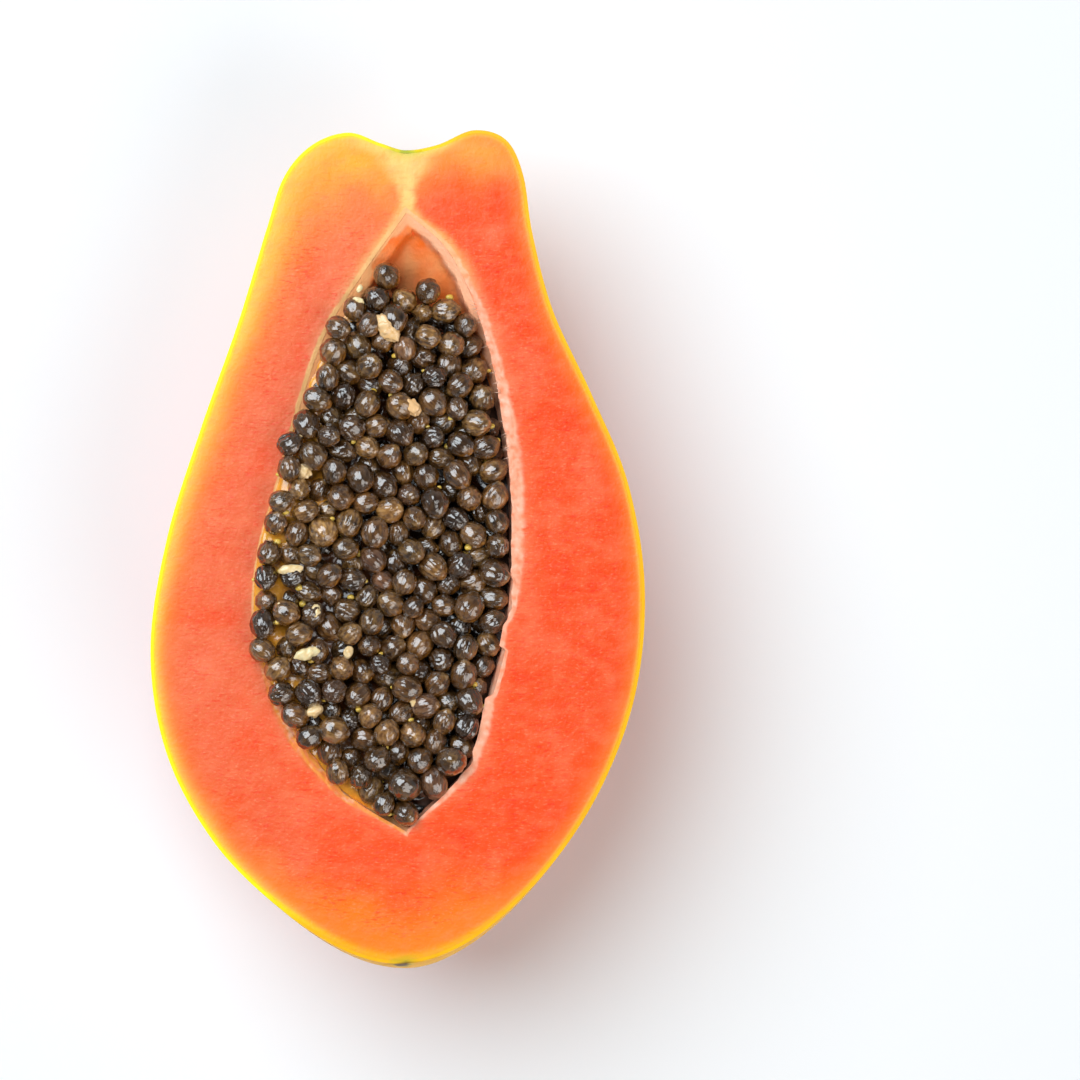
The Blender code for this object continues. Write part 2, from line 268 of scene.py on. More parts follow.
def smooth_curve(points, mirrored=False):
    """A Catmull-Rom curve over 0 to 1; mirrored if its ends meet its image at X = 0."""
    knots = np.array(points, float).reshape(len(points), -1)
    before, after = 2 * knots[0] - knots[1], 2 * knots[-1] - knots[-2]
    if mirrored:
        before, after = knots[1] * (-1, 1), knots[-2] * (-1, 1)
    padded = np.array([before, *knots, after])

    def at(share):
        place = np.clip(share, 0, 1) * (len(knots) - 1)
        index = np.minimum(np.asarray(place).astype(int), len(knots) - 2)
        u = (place - index)[..., None]
        a, b, c, d = (padded[index + step] for step in range(4))
        bend = 2 * a - 5 * b + 4 * c - d
        return (2 * b + (c - a) * u + bend * u**2 + (3 * b - a - 3 * c + d) * u**3) / 2

    return at


right_profile = smooth_curve(RIGHT_PROFILE, mirrored=True)
left_profile = smooth_curve(LEFT_PROFILE, mirrored=True)
cavity_right = smooth_curve(CAVITY_RIGHT)
cavity_left = smooth_curve(CAVITY_LEFT)
cavity_depths = smooth_curve(CAVITY_DEPTHS)
right_rim, left_rim = (curve(np.linspace(1, 0, RIM_STEPS)) for curve in (cavity_right, cavity_left))


def rim_at(y):
    """The cavity rim's left and right X at this Y."""
    return tuple(np.interp(y, rim[:, 1], rim[:, 0]) for rim in (left_rim, right_rim))


def past_middle(points):
    """How far right of the mouth's middle each point is."""
    left, right = rim_at(points[:, 1])
    return points[:, 0] - (left + right) / 2


def mouth_share(x, y):
    """How far across the mouth: 0 at the left rim and 1 at the right."""
    left, right = rim_at(y)
    return (x - left) / np.maximum(right - left, 1)


def even_shares(first, second, count, stop=1.0):
    """Shares from 0 to stop at even steps along the mean of two curves."""
    fine = np.linspace(0, stop, CURVE_STEPS)
    middle = (first(fine) + second(fine)) / 2
    run = np.cumsum(np.linalg.norm(np.diff(middle, axis=0, prepend=middle[:1]), axis=1))
    return np.interp(np.linspace(0, run[-1], count + 1), run, fine)


def axis_height(y):
    """Height of the fruit's long axis over the cut face, which is 0 or less."""
    blossom_y = RIGHT_PROFILE[-1][1]
    share = (AXIS_DROP_FROM_Y - y) / (AXIS_DROP_FROM_Y - blossom_y)
    return -AXIS_DROP * np.maximum(share, 0) ** 2


def shoulder_fall(y):
    """How much lower the shoulder is under the fruit than at its sides."""
    return SHOULDER_FALL * ramp(SHOULDER_FALL_FROM_Y, RIGHT_PROFILE[0][1], y)


def fruit_point(share, angle):
    """Points on the skin; angle 0 is the right side and a quarter turn the belly."""
    right, left = right_profile(share), left_profile(share)
    side = (1 - np.cos(angle)) / 2
    below = np.maximum(np.sin(angle), 0)
    reach = right[..., 0] + (left[..., 0] - right[..., 0]) * side
    fall = shoulder_fall(right[..., 1]) * np.minimum(reach / DIMPLE_REACH, 1) * below**1.5
    y = right[..., 1] + (left[..., 1] - right[..., 1]) * side - fall
    depth = DEPTH_SHARE * (right[..., 0] + left[..., 0]) / 2
    rib = 1 + RIB_SHARE * below * np.sin(RIB_COUNT * angle)
    x = AXIS_X + reach * rib * np.cos(angle)
    return np.stack([x, y, axis_height(y) - depth * rib * np.sin(angle)], axis=-1)


def fruit_normal(share, angle):
    """Outward directions of the skin."""
    share = np.clip(share, END_SHARE, 1 - END_SHARE)
    step = END_SHARE / 4
    along = fruit_point(share + step, angle) - fruit_point(share - step, angle)
    round_it = fruit_point(share, angle + step) - fruit_point(share, angle - step)
    normal = np.cross(along, round_it)
    return normal / np.linalg.norm(normal, axis=-1, keepdims=True)


def cut_angle(share):
    """How far past its side the skin rises to meet the cut, as an angle."""
    depth = DEPTH_SHARE * (right_profile(share)[..., 0] + left_profile(share)[..., 0]) / 2
    found = []
    for direction in (0, 1):
        rise = np.zeros_like(share)
        for _ in range(SOLVE_ROUNDS):
            angle = -rise if direction == 0 else math.pi + rise
            drop = -axis_height(fruit_point(share, angle)[..., 1])
            rise = np.arcsin(np.clip(drop / np.maximum(depth, 1e-6), 0, 1))
        found.append(rise)
    return found


def last_cut_share():
    """The station near the blossom tip where the cut leaves the fruit."""
    shares = np.linspace(0.9, 1, 4001)
    right, left = cut_angle(shares)
    return shares[np.argmax(np.minimum(right, left) > math.pi / 2 - 1e-4)]


def cavity_point(share, angle, inset=0.0):
    """Points on the cavity's wall: angle 0 is the right rim and pi the left."""
    right, left = cavity_right(share), cavity_left(share)
    across, down = np.cos(angle), np.maximum(np.sin(angle), 0)
    power = 2 / np.where(across > 0, WALL_POWER_RIGHT, WALL_POWER_LEFT)
    half = np.maximum((right[..., 0] - left[..., 0]) / 2 - inset, 0)
    depth = np.maximum(cavity_depths(share)[..., 0] - inset, 0)
    x = (right[..., 0] + left[..., 0]) / 2 + half * np.copysign(np.abs(across) ** power, across)
    y = right[..., 1] + (left[..., 1] - right[..., 1]) * (1 - across) / 2
    return np.stack(np.broadcast_arrays(x, y, -depth * down**power), axis=-1)


def grid_faces(rows, columns, closed=False):
    """Quads over a grid of points; closed joins the last column to the first."""
    index = np.arange(rows * columns).reshape(rows, columns)
    if closed:
        index = np.hstack([index, index[:, :1]])
    corners = (index[:-1, :-1], index[:-1, 1:], index[1:, 1:], index[1:, :-1])
    return np.stack([corner.ravel() for corner in corners], axis=1)


def copies(faces, size, count):
    """The faces of a shape with this many points, once for each of its copies."""
    return np.vstack([faces + number * size for number in range(count)])


def closed_mesh(name, sheets):
    """A mesh of sheets of (points, faces); its faces keep their sheet's number."""
    starts = np.cumsum([0] + [len(points) for points, _ in sheets])
    points = np.vstack([points for points, _ in sheets])
    faces = np.vstack([faces + start for (_, faces), start in zip(sheets, starts)])
    mesh = bpy.data.meshes.new(name)
    mesh.from_pydata(((points + (0, 0, CUT_HEIGHT)) * MM).tolist(), [], faces.tolist())
    numbers = np.repeat(np.arange(len(sheets)), [len(faces) for _, faces in sheets])
    mesh.attributes.new("sheet", "INT", "FACE").data.foreach_set("value", numbers)
    work = bmesh.new()
    work.from_mesh(mesh)
    bmesh.ops.remove_doubles(work, verts=work.verts, dist=MERGE_GAP * MM)
    bmesh.ops.dissolve_degenerate(work, edges=work.edges, dist=MERGE_GAP * MM / 4)
    bmesh.ops.holes_fill(work, edges=[edge for edge in work.edges if edge.is_boundary])
    bmesh.ops.recalc_face_normals(work, faces=work.faces)
    work.to_mesh(mesh)
    work.free()
    mesh.shade_smooth()
    return mesh


def mesh_points(mesh):
    """The mesh's points in millimetres from the cut face."""
    flat = np.empty(len(mesh.vertices) * 3)
    mesh.vertices.foreach_get("co", flat)
    return flat.reshape(-1, 3) / MM - (0, 0, CUT_HEIGHT)


def move_points(mesh, points):
    mesh.vertices.foreach_set("co", ((points + (0, 0, CUT_HEIGHT)) * MM).ravel())
    mesh.update()


def put(name, data):
    """A new object in the scene."""
    made = bpy.data.objects.new(name, data)
    bpy.context.scene.collection.objects.link(made)
    return made


def add_piece(mesh, tints, places, material, part):
    """Puts a mesh in a part's place, with its points' colours and places."""
    rows = np.ones((len(mesh.vertices), 4))
    rows[:, :3] = tints
    layer = mesh.color_attributes.new("tint", "FLOAT_COLOR", "POINT")
    layer.data.foreach_set("color", rows.ravel())
    layer = mesh.attributes.new("place", "FLOAT_VECTOR", "POINT")
    layer.data.foreach_set("vector", np.ascontiguousarray(places, float).ravel())
    mesh.materials.append(material)
    piece = put(mesh.name, mesh)
    slot, node = part
    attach(piece, "root")
    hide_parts(node)


def curve_tree(points):
    tree = KDTree(len(points))
    for index, point in enumerate(points):
        tree.insert(point, index)
    tree.balance()
    return tree


def distances(points, curve):
    """Each point's distance to a curve of the cut face, seen from above."""
    flat = curve.copy()
    flat[:, 2] = 0
    tree = curve_tree(flat)
    return np.array([tree.find((x, y, 0))[2] for x, y, _ in points])


# Stations that the skin, the cut face and the cavity share
cut_stop = last_cut_share()
side_shares = even_shares(right_profile, left_profile, SIDE_STEPS, cut_stop)
tip_shares = np.linspace(cut_stop, 1, TIP_STEPS + 1)[1:]
cavity_shares = even_shares(cavity_right, cavity_left, SIDE_STEPS)


def skin_edge(shares, inset, left):
    """The skin's edge on the cut, moved inwards by its slanting thickness."""
    rise = cut_angle(shares)[1 if left else 0]
    angle = math.pi + rise if left else -rise
    point, normal = fruit_point(shares, angle), fruit_normal(shares, angle)
    level = normal.copy()
    level[:, 2] = 0
    width = np.linalg.norm(level, axis=-1, keepdims=True)
    moved = point - level / width * np.minimum(inset / width, inset * 2.5)
    moved[:, 2] = 0
    return moved


def resting(points, least):
    """Rounds the belly off on the flat spot that it lies on."""
    over = points[..., 2] + CUT_HEIGHT - least
    softened = points.copy()
    softened[..., 2] = least - CUT_HEIGHT + (over + np.sqrt(over * over + FLAT_SOFTNESS)) / 2
    return np.where(over[..., None] < FLAT_REACH, softened, points)


def skin_sheet(inset, steps):
    """Rows of points this deep in the skin, from one edge of the cut to the other."""
    shares = np.concatenate([side_shares, tip_shares])
    right, left = cut_angle(shares)
    grid = []
    for step in np.linspace(0, 1, steps + 1):
        angle = -right + (math.pi + left + right) * step
        row = fruit_point(shares, angle) - fruit_normal(shares, angle) * inset
        grid.append(resting(row, inset))
    grid = np.array(grid)
    tip = len(side_shares) - 1
    grid[0, : tip + 1] = skin_edge(side_shares, inset, left=False)
    grid[-1, : tip + 1] = skin_edge(side_shares, inset, left=True)
    grid[..., 2] = np.minimum(grid[..., 2], 0)
    grid[[0, -1], tip:] = grid[[0, -1], tip:].mean(axis=0)
    grid[:, 0] = grid[[0, -1], 0].mean(axis=0)
    grid[:, -1] = grid[:, -1].mean(axis=0)
    return grid


def sheet(grid, closed=False):
    rows, columns = grid.shape[:2]
    return grid.reshape(-1, 3), grid_faces(rows, columns, closed)


def skin_tints(points):
    """Yellow at the cut, gold flanks, red-orange blotches on the belly."""
    x, y, z = points.T
    long_spots = ripple(points * (1, 0.35, 1), 15, 11) + ripple(points * (1, 0.4, 1), 6, 12) / 2
    patch = ramp(0.35, 0.9, ripple(points * (1, 0.5, 1), 34, 14))
    stem = np.linalg.norm(points - STEM_END, axis=1) * (1 + 0.35 * ripple(points, 1.6, 15))
    colour = painted(
        SKIN_GOLD,
        (SKIN_ORANGE, ramp(-1, -24, z + 7 * long_spots)),
        (SKIN_RED, ramp(-10, -46, z + 9 * long_spots) * 0.9),
        (SKIN_GOLD, ramp(56, 98, y + 9 * long_spots) * 0.7),
        (SKIN_GOLD, patch * ramp(-40, -12, z) * 0.6),
        (blend(SKIN_YELLOW, SKIN_AMBER, ramp(-20, 30, x)), ramp(-3.0, -0.4, z)),
        (LIP_GOLD, ramp(-84, -96, y) * ramp(-14, -4, z)),
        (SKIN_GREEN, 1 - ramp(3.6, 6.6, stem)),
        (SCAR_BROWN, ramp(3.4, 1.4, stem) * ramp(-2, -4, z)),
    )
    fine = ripple(points * (1, 0.25, 1), 2.2, 13)
    return scarred(colour * (1 + 0.04 * fine[:, None]), points)


def scarred(colour, points):
    """The colour with the brown spot that the flower left at the tip."""
    ragged = 1 + 0.3 * ripple(points, 1.1, 16)
    away = np.linalg.norm((points - BLOSSOM_SCAR) * (0.75, 1, 0.5), axis=1) * ragged
    colour = blend(colour, SKIN_GREEN, ramp(2.4, 1.3, away) * 0.5)
    return blend(colour, SCAR_BROWN, 1 - ramp(1.0, 1.5, away))


def make_skin():
    """The thin skin as a closed shell, open to the cut face."""
    outer = skin_sheet(0.0, SKIN_STEPS)
    inner = skin_sheet(SKIN_THICKNESS, UNDER_STEPS)
    on_cut = len(side_shares)
    edges = [sheet(np.array([outer[row, :on_cut], inner[row, :on_cut]])) for row in (0, -1)]
    mesh = closed_mesh("papaya_skin", [sheet(outer), sheet(inner), *edges])
    mesh.set_sharp_from_angle(angle=SHARP_CORNER)
    points = mesh_points(mesh)
    add_piece(mesh, skin_tints(points), points, skin_material(), FLESH)


def eased(count, mix):
    """Shares from 0 to 1 with closer steps at both ends."""
    even = np.linspace(0, 1, count + 1)
    return even * (1 - mix) + mix * (even - np.sin(2 * math.pi * even) / (2 * math.pi))


def flesh_sheets():
    """The cut face, the cavity's wall and the side under the skin."""
    under = skin_sheet(SKIN_THICKNESS + SKIN_GAP, UNDER_STEPS)
    on_cut = len(side_shares)
    outside = np.vstack([under[0, :on_cut], under[-1, on_cut - 2 : 0 : -1]])
    rims = [cavity_point(cavity_shares, angle) for angle in (0.0, math.pi)]
    inside = np.vstack([rims[0], rims[1][-2:0:-1]])
    steps = eased(FACE_STEPS, 0.6)[:, None, None]
    face = inside + (outside - inside) * steps
    angles = eased(WALL_STEPS, 0.8)[:, None] * math.pi
    wall = cavity_point(cavity_shares[None, :], angles)
    return [sheet(face, closed=True), sheet(wall), sheet(under)], inside, outside


def corner_rows(mesh):
    """The sheet and the point of each corner of the faces."""
    numbers, totals = (np.empty(len(mesh.polygons), np.int32) for _ in range(2))
    mesh.attributes["sheet"].data.foreach_get("value", numbers)
    mesh.polygons.foreach_get("loop_total", totals)
    corners = np.empty(len(mesh.loops), np.int32)
    mesh.loops.foreach_get("vertex_index", corners)
    return np.repeat(numbers, totals), corners


def points_of(mesh, number):
    """Which points a sheet has, its edges included."""
    sheets, corners = corner_rows(mesh)
    found = np.zeros(len(mesh.vertices), bool)
    found[corners[sheets == number]] = True
    return found


def band_width(points):
    """How wide the torn lining shows outside the rim here."""
    y = points[:, 1]
    left, right = (np.interp(y, *np.transpose(band)) for band in (BAND_LEFT, BAND_RIGHT))
    return np.where(past_middle(points) > 0, right, left)


def band_share(points, from_rim):
    """1 on the torn lining round the rim, 0 on the clean cut."""
    width = band_width(points)
    uneven = 0.35 * ripple(points, 2.3, 34) + 0.2 * ripple(points, 0.9, 35)
    edge = from_rim + uneven * np.minimum(width / 2, 1)
    return 1 - ramp(width * 0.75, width * 1.15, edge)


def roughened(points, from_rim, level, from_edge, on_face, on_wall):
    """The flesh with its uneven cut, its torn lining and its stringy wall."""
    moved = points.copy()
    either = on_face | on_wall
    relief = RELIEF_WAVE * ripples(points, 13, 5, 21) + RELIEF_GRAIN * ripple(points, 1.5, 23)
    relief = relief * ramp(0, 2.5, from_edge)
    band = band_share(points, from_rim) * on_face
    broad = ramp(1.1, 2.4, band_width(points))
    relief = relief - band * broad * (BAND_SUNK - BAND_RAGGED * ripples(points, 1.4, 0.7, 36))
    moved[:, 2] += relief * on_face * ramp(0, 1.0, from_rim)
    moved[:, 2] = np.where(on_wall & ~on_face, ledge(moved, level), moved[:, 2])
    ragged = fading(from_rim, RIM_RAGGED_REACH) * RIM_RAGGED * (0.12 + 0.88 * broad)
    for axis in range(3):
        noise = ripple(points, 2.6, 24 + axis) + ripple(points, 1.1, 27 + axis) / 2
        moved[:, axis] += noise * ragged * either
    moved[:, 0] += notches(points, from_rim) * either
    moved[:, 2] -= RIM_ROUND * (0.3 + 0.7 * broad) * fading(from_rim, 0.6) * either
    return moved


def notches(points, from_rim):
    """How far the torn rim breaks out or in along X, at the lower right."""
    left, right = rim_at(points[:, 1])
    steps = ramp(-0.2, 0.25, ripple(points, NOTCH_SIZE, 93)) - 0.5
    aside = ramp(0.1, 0.4, past_middle(points) / np.maximum(right - left, 1))
    return NOTCH_DEPTH * steps * aside * ramp(0, -18, points[:, 1]) * fading(from_rim, NOTCH_REACH)


def ledge(points, level):
    """Height of the wall, which slants in gently at the upper left and the apex."""
    _, y, z = points.T
    on_left = ramp(24, 36, y) * ramp(4.6, 3.0, level)
    on_right = ramp(50, 62, y) * ramp(2.9, 1.9, level + 0.4 * ripple(points, 3, 39))
    share = np.where(past_middle(points) < 0, on_left, on_right)
    return z + np.maximum(-LEDGE_SLOPE * level - 0.2 - z, 0) * share


def face_tints(points, from_rim, from_edge):
    """Yellow under the skin, coral inside, a pale core and lining."""
    x, y, _ = points.T
    blotch = ripples(points, 11, 5, 31)
    mottle = ripples(points, 8, 3.5, 91)
    right = ramp(-6, 10, x)
    colour = painted(
        blend(CORAL_LEFT, CORAL_RIGHT, ramp(-14, 20, x + 4 * blotch)),
        (RED_LOW, ramp(-30, -58, y + 6 * blotch) * (0.85 - 0.6 * ramp(-14, -34, x))),
        (MOTTLE_RED, ramp(0.1, 1.1, mottle) * 0.4),
        (MOTTLE_PINK, ramp(0.1, 1.1, -mottle) * 0.35),
        (ORANGE_LOBE, ramp(64, 98, y + 5 * blotch) * ramp(10, -22, x)),
        (blend(GOLD_TOP, ORANGE_TOP, right), ramp(80, 104, y + 4 * blotch) ** (1.7 + 0.9 * right)),
        (ORANGE_TIP, ramp(-74, -102, y + 5 * blotch) * 0.9),
    )
    colour = painted(
        fringed(colour, points, from_edge, blotch),
        (core_colour(points), core_share(points, from_rim)),
        (band_tints(points, from_rim), band_share(points, from_rim)),
    )
    return scarred(colour, points)


def fringed(colour, points, from_edge, blotch):
    """The colour with its yellow fringe along the skin, widest at the left."""
    x, y, _ = points.T
    left, high, low = ramp(8, -30, x), ramp(30, 95, y), ramp(-60, -98, y)
    width = 0.55 + left * (1.4 - 0.5 * ramp(10, -30, y) + 2.0 * high) * (1 - 0.6 * low)
    depth = from_edge * (1 + 0.14 * blotch)
    lip = ramp(-86, -101, y)
    under = painted(UNDER_SKIN, (UNDER_SKIN_RIGHT, ramp(-20, 30, x)), (UNDER_LIP, lip))
    return painted(
        colour,
        (ORANGE_EDGE, fading(depth, 1.6 + 2.6 * width + 3 * low) * 0.65),
        (YELLOW_LOBE, fading(depth, width * 1.7) * (0.35 + 0.35 * left)),
        (YELLOW_EDGE, fading(depth, width, 1.6) * 0.9),
        (under, fading(from_edge, 0.5 - 0.15 * ramp(0, 30, x) + 1.1 * lip)),
    )


def band_tints(points, from_rim):
    """Pink at the right, cream at the upper left, amber stripes low down."""
    y = points[:, 1]
    stripes = np.sin(from_rim * 4.5 + 2 * ripple(points, 4, 44)) * 0.5 + 0.5
    tuft = ripples(points, 1.3, 0.6, 45)
    low = ramp(-8, -36, y)
    pink = painted(
        LINING_PINK,
        (LINING_LIGHT, ramp(0.2, 1.1, tuft) * 0.7),
        (LINING_ROSE, ramp(0.0, 0.9, -tuft) * 0.8),
        (LINING_CREAM, ramp(60, 80, y) * 0.7),
    )
    cream = painted(
        LINING_CREAM,
        (LINING_ORANGE, low),
        (LINING_AMBER, stripes * low * 0.8),
        (LINING_LIGHT, ramp(0.3, 1.0, tuft) * low * 0.5),
    )
    return blend(cream, pink, ramp(-3, 3, past_middle(points)))


def core_colour(points):
    """Pale yellow up to the green spot at the stem, peach along the rim."""
    x, y, _ = points.T
    green = ramp(96.5, 101, y) * fading(x - 2, 6)
    return painted(CORE_PALE, (RIM_PEACH, ramp(80, 60, y)), (CORE_GREEN, green * 0.8))


def core_share(points, from_rim):
    """How pale the flesh is, in the core over the cavity and along the rim."""
    x, y, _ = points.T
    fine = ripple(points, 2.2, 33)
    half = 2.0 + 4.0 * ramp(89, 99, y) + 5 * ramp(98, 101.8, y)
    stem = (1 - ramp(half * 0.35, half * 1.6, np.abs(x - 2.2) + 0.4 * fine)) * ramp(82, 86, y)
    reach = 0.8 + band_width(points) + 0.3 * fine
    rim = fading(from_rim, reach * 1.15) * (0.35 + 0.45 * ramp(30, 72, y))
    streaks = 0.88 + 0.16 * ripple(points * (1, 0.1, 1), 0.9, 49)
    return np.maximum(stem * streaks, rim)


def wall_tints(points, from_rim):
    """A pale lining under the rim, orange-pink deeper down."""
    x, y, _ = points.T
    noise = ripples(points, 2.4, 1.0, 41)
    right = ramp(-6, 6, x - 2)
    left = 1 - right
    band = 1.4 + left * (1.2 + 2.0 * ramp(24, 40, y)) * ramp(72, 62, y)
    band = band + ramp(50, 62, y) * (1.1 * right - 0.6 * left)
    ridges = ramp(0.2, 0.9, np.sin(1.5 * (x + y) + 3 * noise))
    pale = painted(
        blend(LINING_CREAM, LINING_PINK, right),
        (LINING_LIGHT, ridges * 0.6),
        (LINING_AMBER, left * ramp(0.1, 0.8, noise) * 0.5),
        (blend(POCKET_CREAM, POCKET_LINING, right), ramp(22, 44, y)),
    )
    patch = 0.5 + 0.5 * ripple(points, 6, 47) + 0.3 * ripple(points, 2, 48)
    ridge = fading(x - 2.4, 1.5) * ramp(56, 66, y) * ramp(80, 72, y)
    deep = painted(
        blend(WALL_ORANGE, WALL_LIGHT, 0.5 + 0.5 * ripple(points, 5, 43)),
        (blend(POCKET_ORANGE, POCKET_PEACH, patch), ramp(54, 64, y)),
        (POCKET_CREAM, ridge * 0.7),
    )
    return blend(deep, pale, 1 - ramp(band * 0.75, band * 1.3, from_rim + 0.6 * noise))


def make_flesh():
    """The cut flesh, closed by its side under the skin."""
    sheets, rim, edge = flesh_sheets()
    mesh = closed_mesh("papaya_flesh_cut", sheets)
    points = mesh_points(mesh)
    on_face, on_wall = points_of(mesh, FACE_SHEET), points_of(mesh, WALL_SHEET)
    tree = curve_tree(rim)
    from_rim = np.array([tree.find(point)[2] for point in points])
    from_edge, level = distances(points, edge), distances(points, rim)
    place_on_sheet(mesh, points)
    move_points(mesh, roughened(points, from_rim, level, from_edge, on_face, on_wall))
    tints = face_tints(points, from_rim, from_edge)
    only_wall = on_wall & ~on_face
    tints[only_wall] = wall_tints(points, level)[only_wall]
    mesh.set_sharp_from_angle(angle=SHARP_CORNER)
    coral = ramp(2.0, 8.0, from_edge) * (1 - band_share(points, from_rim)) * on_face
    coral = coral * (1 - ramp(76, 90, points[:, 1]) * 0.6)
    mesh.attributes.new("flecked", "FLOAT", "POINT").data.foreach_set("value", coral)
    tints = np.maximum(tints - WET_SHEEN, LEAST_TINT)
    add_piece(mesh, tints, points, flesh_material(), FLESH)


def place_on_sheet(mesh, points):
    """A map for the bake: the cut and the wall from above, the hidden side small beside."""
    low, high = points.min(axis=0), points.max(axis=0)
    scale = MAP_SPAN / (high[1] - low[1])
    seen = (points[:, :2] - low[:2]) * scale + MAP_EDGE
    room = MAP_SPAN - (high[0] - low[0]) * scale
    small = room / (high[0] - low[0])
    hidden = (points[:, :2] - low[:2]) * small + (MAP_SPAN + MAP_EDGE - room, MAP_EDGE)
    sheets, corners = corner_rows(mesh)
    spots = np.where((sheets == UNDER_SHEET)[:, None], hidden[corners], seen[corners])
    layer = mesh.uv_layers.new(name="OFBake")
    layer.uv.foreach_set("vector", np.ascontiguousarray(spots, np.float32).ravel())


# Sockets of a mix node for colours
MIX_SHARE, MIX_FIRST, MIX_SECOND, MIX_RESULT = 0, 6, 7, 2
# The same scale along each axis
EVEN = (1, 1, 1)


def fill(tree, node, inputs):
    """Sets a node's inputs, or links them where the value is a socket."""
    for key, value in inputs.items():
        if isinstance(value, bpy.types.NodeSocket):
            tree.links.new(value, node.inputs[key])
        else:
            node.inputs[key].default_value = value


def add_node(tree, kind, inputs, **settings):
    node = tree.nodes.new("ShaderNode" + kind)
    for name, value in settings.items():
        setattr(node, name, value)
    fill(tree, node, inputs)
    return node


def point_value(tree, name, socket):
    """A value that the points carry."""
    return add_node(tree, "Attribute", {}, attribute_name=name).outputs[socket]


def new_material(name, roughness, coat=0.0, coat_roughness=0.1, ior=1.45):
    """A material with its nodes, its shader and the points' tint."""
    material = bpy.data.materials.new(name)
    material.use_nodes = True
    tree = material.node_tree
    shader = tree.nodes["Principled BSDF"]
    gloss = {"Coat Weight": coat, "Coat Roughness": coat_roughness}
    fill(tree, shader, {"Roughness": roughness, "IOR": ior, **gloss})
    return material, tree, shader, point_value(tree, "tint", "Color")


def noise_node(tree, size, stretch=EVEN, detail=2.0, offset=0.0):
    """Noise with features of this size in millimetres."""
    scale = [part / size for part in stretch]
    place = {"Vector": point_value(tree, "place", "Vector"), "Scale": scale}
    mapping = add_node(tree, "Mapping", {**place, "Location": (offset, offset, offset)})
    inputs = {"Vector": mapping.outputs["Vector"], "Scale": 1.0, "Detail": detail}
    return add_node(tree, "TexNoise", inputs).outputs["Fac"]


def ranged(tree, value, low, high, start=0.0, end=1.0):
    """The value taken from start at low to end at high, smooth between."""
    limits = {"From Min": low, "From Max": high, "To Min": start, "To Max": end}
    inputs = {"Value": value, **limits}
    return add_node(tree, "MapRange", inputs, interpolation_type="SMOOTHSTEP").outputs["Result"]


def mixed(tree, kind, share, colour, second):
    """The colour of a socket mixed with a plain one."""
    inputs = {MIX_SHARE: share, MIX_FIRST: colour, MIX_SECOND: (*second, 1)}
    return add_node(tree, "Mix", inputs, data_type="RGBA", blend_type=kind).outputs[MIX_RESULT]


def multiplied(tree, first, second):
    return add_node(tree, "Math", {0: first, 1: second}, operation="MULTIPLY").outputs[0]


def finished(tree, shader, colour, height, depth, strength):
    """Gives the shader its colour and a bump, and returns the bumped direction."""
    node = add_node(tree, "Bump", {"Distance": depth * MM, "Strength": strength, "Height": height})
    fill(tree, shader, {"Base Color": colour, "Normal": node.outputs["Normal"]})
    return node.outputs["Normal"]


def clouded(material, cloud, most, shade, relief):
    """A material with a cloudy tint and a relief, and its bumped direction."""
    made, tree, shader, tint = new_material(*material)
    noise, low, high = cloud
    bumps, depth, strength = relief
    share = ranged(tree, noise_node(tree, *noise), low, high, 0, most)
    colour = mixed(tree, "MULTIPLY", share, tint, shade)
    direction = finished(tree, shader, colour, noise_node(tree, *bumps), depth, strength)
    return made, direction


def flesh_material():
    """Moist flesh with fine flecks across the cut and a soft grain."""
    material, tree, shader, tint = new_material("moist_flesh", 0.42, ior=1.36)
    where = point_value(tree, "flecked", "Fac")
    flecks = ranged(tree, noise_node(tree, 0.9, (0.42, 1.5, 1), 3), 0.5, 0.7)
    patches = ranged(tree, noise_node(tree, 7.0, offset=21), 0.36, 0.6, 0.25, 1.0)
    flecks = multiplied(tree, multiplied(tree, flecks, patches), where)
    colour = mixed(tree, "MULTIPLY", flecks, tint, FLECK_SHADE)
    cloud = ranged(tree, noise_node(tree, 3.0, (0.6, 1, 1), 5, offset=7), 0.4, 0.72, 0, 0.22)
    colour = mixed(tree, "MIX", cloud, colour, CLOUD_ORANGE)
    grains = ranged(tree, noise_node(tree, 0.7, (0.6, 1.4, 1), offset=9), 0.54, 0.75, 0, 0.3)
    colour = mixed(tree, "MIX", multiplied(tree, grains, where), colour, GRAIN_PEACH)
    finished(tree, shader, colour, noise_node(tree, 0.9, detail=4, offset=3), 0.3, 0.7)
    return material


def skin_material():
    """Smooth waxy skin with faint streaks along the fruit."""
    streaks = ((3.0, (1, 0.2, 1), 4), 0.35, 0.7)
    relief = ((1.6, EVEN, 3), 0.12, 0.5)
    return clouded(("waxy_skin", 0.48, 0.1, 0.25, 1.33), streaks, 0.35, STREAK_SHADE, relief)[0]


def bed_height(x, y):
    """Height of the middles of the top seeds over the cut face."""
    across = np.clip(mouth_share(x, y), 0, 1)
    apex, end = CAVITY_LEFT[0][1], CAVITY_LEFT[-1][1]
    to_end = np.minimum(abs(apex - y), abs(y - end)) / (apex - end) * 2
    middle = np.minimum(to_end * 2.2, 1.0)
    wave = np.sin(0.31 * x + 1) * np.cos(0.19 * y) + np.sin(0.37 * y + 0.11 * x) / 2
    fall = BED_FALL * middle * across**1.3 + BED_END_FALL * (1 - middle) ** 1.5
    return BED_LEFT - fall + BED_WAVE * wave


